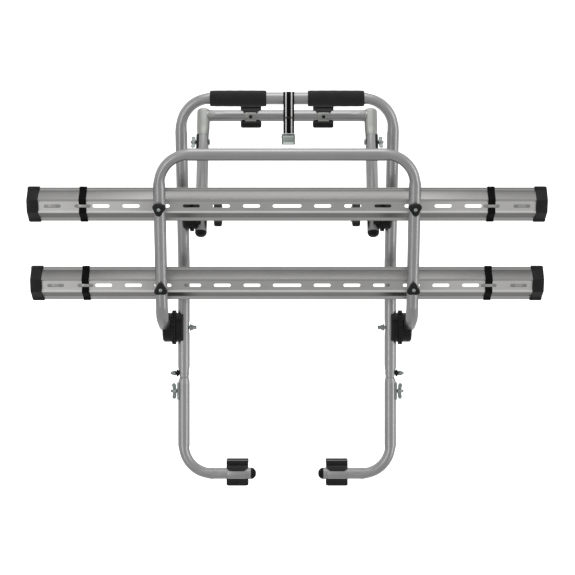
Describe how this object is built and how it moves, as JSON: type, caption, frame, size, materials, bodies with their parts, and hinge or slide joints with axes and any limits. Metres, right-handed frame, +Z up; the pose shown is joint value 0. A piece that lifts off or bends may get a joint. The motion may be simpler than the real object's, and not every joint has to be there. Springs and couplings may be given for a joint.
{
  "type": "rear door bike rack",
  "caption": "Folding rear-door carrier for bicycles: tubular frame, tilting hook frame, telescoping arms and a folding platform with slotted wheel rails.",
  "frame": {"origin": "midway between the seats of the two upper hooks, where the top edge of the door carries them", "axes": "+X to the right seen from behind the vehicle, +Y forwards into the vehicle, +Z up"},
  "size_m": [1.28, 0.3322, 1.0025],
  "materials": {
    "tube_aluminium": "satin anodised, silver grey",
    "rail_aluminium": "satin anodised extrusion with fine lines along it",
    "zinc_steel": "bright zinc plating, slightly greenish",
    "black_plastic": "moulded black nylon, fine texture",
    "hook_rubber": "matte black rubber",
    "foam": "closed-cell black foam",
    "webbing": "woven polyester, black; the security strap has two white stripes"
  },
  "bodies": {
    "main_frame": {"main_frame": "tube_aluminium", "left_foam_grip": "foam", "left_leg_bolt": "zinc_steel", "left_upper_hinge_outer": "black_plastic", "left_upper_hinge_bolt": "zinc_steel", "left_lower_hinge_inner": "black_plastic", "left_lower_hinge_bolt": "zinc_steel", "right_foam_grip": "foam", "right_leg_bolt": "zinc_steel", "right_upper_hinge_outer": "black_plastic", "right_upper_hinge_bolt": "zinc_steel", "right_lower_hinge_inner": "black_plastic", "right_lower_hinge_bolt": "zinc_steel", "security_strap": "webbing", "cam_buckle": "zinc_steel"},
    "platform": {"platform_bracket": "tube_aluminium", "upper_rail": "rail_aluminium", "lower_rail": "rail_aluminium", "left_lower_hinge_outer": "black_plastic", "left_upper_rail_cap": "black_plastic", "left_upper_wheel_strap": "webbing", "left_lower_rail_cap": "black_plastic", "left_lower_wheel_strap": "webbing", "right_lower_hinge_outer": "black_plastic", "right_upper_rail_cap": "black_plastic", "right_upper_wheel_strap": "webbing", "right_lower_rail_cap": "black_plastic", "right_lower_wheel_strap": "webbing"},
    "hook_frame": {"left_inner_leg": "tube_aluminium", "left_upper_hinge_inner": "black_plastic", "left_slider_bolt": "zinc_steel", "right_inner_leg": "tube_aluminium", "right_upper_hinge_inner": "black_plastic", "right_slider_bolt": "zinc_steel"},
    "hook_slider": {"hook_crossbar": "tube_aluminium", "left_upper_hook": "zinc_steel", "left_upper_hook_rubber": "hook_rubber", "right_upper_hook": "zinc_steel", "right_upper_hook_rubber": "hook_rubber"},
    "left_arm": {"left_lower_arm": "tube_aluminium", "left_arm_bolt": "zinc_steel", "left_lower_hook": "zinc_steel", "left_lower_hook_rubber": "hook_rubber"},
    "right_arm": {"right_lower_arm": "tube_aluminium", "right_arm_bolt": "zinc_steel", "right_lower_hook": "zinc_steel", "right_lower_hook_rubber": "hook_rubber"},
    "left_hinge_knob": {"left_hinge_knob": "black_plastic"},
    "left_leg_wing_nut": {"left_leg_wing_nut": "zinc_steel"},
    "left_arm_wing_nut": {"left_arm_wing_nut": "zinc_steel"},
    "left_slider_wing_nut": {"left_slider_wing_nut": "zinc_steel"},
    "left_upper_rail_knob": {"left_upper_rail_knob": "black_plastic"},
    "left_lower_rail_knob": {"left_lower_rail_knob": "black_plastic"},
    "right_hinge_knob": {"right_hinge_knob": "black_plastic"},
    "right_leg_wing_nut": {"right_leg_wing_nut": "zinc_steel"},
    "right_arm_wing_nut": {"right_arm_wing_nut": "zinc_steel"},
    "right_slider_wing_nut": {"right_slider_wing_nut": "zinc_steel"},
    "right_upper_rail_knob": {"right_upper_rail_knob": "black_plastic"},
    "right_lower_rail_knob": {"right_lower_rail_knob": "black_plastic"},
    "cam_lever": {"cam_lever": "zinc_steel"}
  },
  "joints": [
    {"name": "platform_fold", "type": "hinge", "parent": "main_frame", "child": "platform", "pos_m": [0, -0.0942, -0.55855], "axis": [1, 0, 0], "range_deg": [0, 75.3]},
    {"name": "hook_frame_tilt", "type": "hinge", "parent": "main_frame", "child": "hook_frame", "pos_m": [0, -0.12985, -0.27055], "axis": [1, 0, 0], "range_deg": [-25, 20]},
    {"name": "hook_height", "type": "slide", "parent": "hook_frame", "child": "hook_slider", "axis": [0, 0.342, 0.9397], "range_m": [0, 0.08]},
    {"name": "left_arm_slide", "type": "slide", "parent": "main_frame", "child": "left_arm", "axis": [0, 0, -1], "range_m": [0, 0.06]},
    {"name": "right_arm_slide", "type": "slide", "parent": "main_frame", "child": "right_arm", "axis": [0, 0, -1], "range_m": [0, 0.06]},
    {"name": "left_hinge_knob_spin", "type": "hinge", "parent": "main_frame", "child": "left_hinge_knob", "pos_m": [-0.175, -0.12985, -0.27055], "axis": [1, 0, 0], "continuous": true},
    {"name": "left_leg_wing_nut_spin", "type": "hinge", "parent": "main_frame", "child": "left_leg_wing_nut", "pos_m": [-0.289, -0.0942, -0.67555], "axis": [1, 0, 0], "continuous": true},
    {"name": "left_arm_wing_nut_spin", "type": "hinge", "parent": "left_arm", "child": "left_arm_wing_nut", "pos_m": [-0.2875, -0.0942, -0.72155], "axis": [1, 0, 0], "continuous": true},
    {"name": "left_slider_wing_nut_spin", "type": "hinge", "parent": "hook_frame", "child": "left_slider_wing_nut", "pos_m": [-0.2408, -0.06077, -0.08073], "axis": [1, 0, 0], "continuous": true},
    {"name": "left_upper_rail_knob_spin", "type": "hinge", "parent": "platform", "child": "left_upper_rail_knob", "pos_m": [-0.3115, -0.28378, -0.26683], "axis": [0, 0.9673, 0.2538], "continuous": true},
    {"name": "left_lower_rail_knob_spin", "type": "hinge", "parent": "platform", "child": "left_lower_rail_knob", "pos_m": [-0.3115, -0.23267, -0.46164], "axis": [0, 0.9673, 0.2538], "continuous": true},
    {"name": "right_hinge_knob_spin", "type": "hinge", "parent": "main_frame", "child": "right_hinge_knob", "pos_m": [0.175, -0.12985, -0.27055], "axis": [1, 0, 0], "continuous": true},
    {"name": "right_leg_wing_nut_spin", "type": "hinge", "parent": "main_frame", "child": "right_leg_wing_nut", "pos_m": [0.289, -0.0942, -0.67555], "axis": [1, 0, 0], "continuous": true},
    {"name": "right_arm_wing_nut_spin", "type": "hinge", "parent": "right_arm", "child": "right_arm_wing_nut", "pos_m": [0.2875, -0.0942, -0.72155], "axis": [1, 0, 0], "continuous": true},
    {"name": "right_slider_wing_nut_spin", "type": "hinge", "parent": "hook_frame", "child": "right_slider_wing_nut", "pos_m": [0.2408, -0.06077, -0.08073], "axis": [1, 0, 0], "continuous": true},
    {"name": "right_upper_rail_knob_spin", "type": "hinge", "parent": "platform", "child": "right_upper_rail_knob", "pos_m": [0.3115, -0.28378, -0.26683], "axis": [0, 0.9673, 0.2538], "continuous": true},
    {"name": "right_lower_rail_knob_spin", "type": "hinge", "parent": "platform", "child": "right_lower_rail_knob", "pos_m": [0.3115, -0.23267, -0.46164], "axis": [0, 0.9673, 0.2538], "continuous": true},
    {"name": "cam_lever_press", "type": "hinge", "parent": "main_frame", "child": "cam_lever", "pos_m": [0, -0.21194, -0.08285], "axis": [1, 0, 0], "range_deg": [0, 15], "stiffness_Nm_per_rad": 0.02}
  ]
}
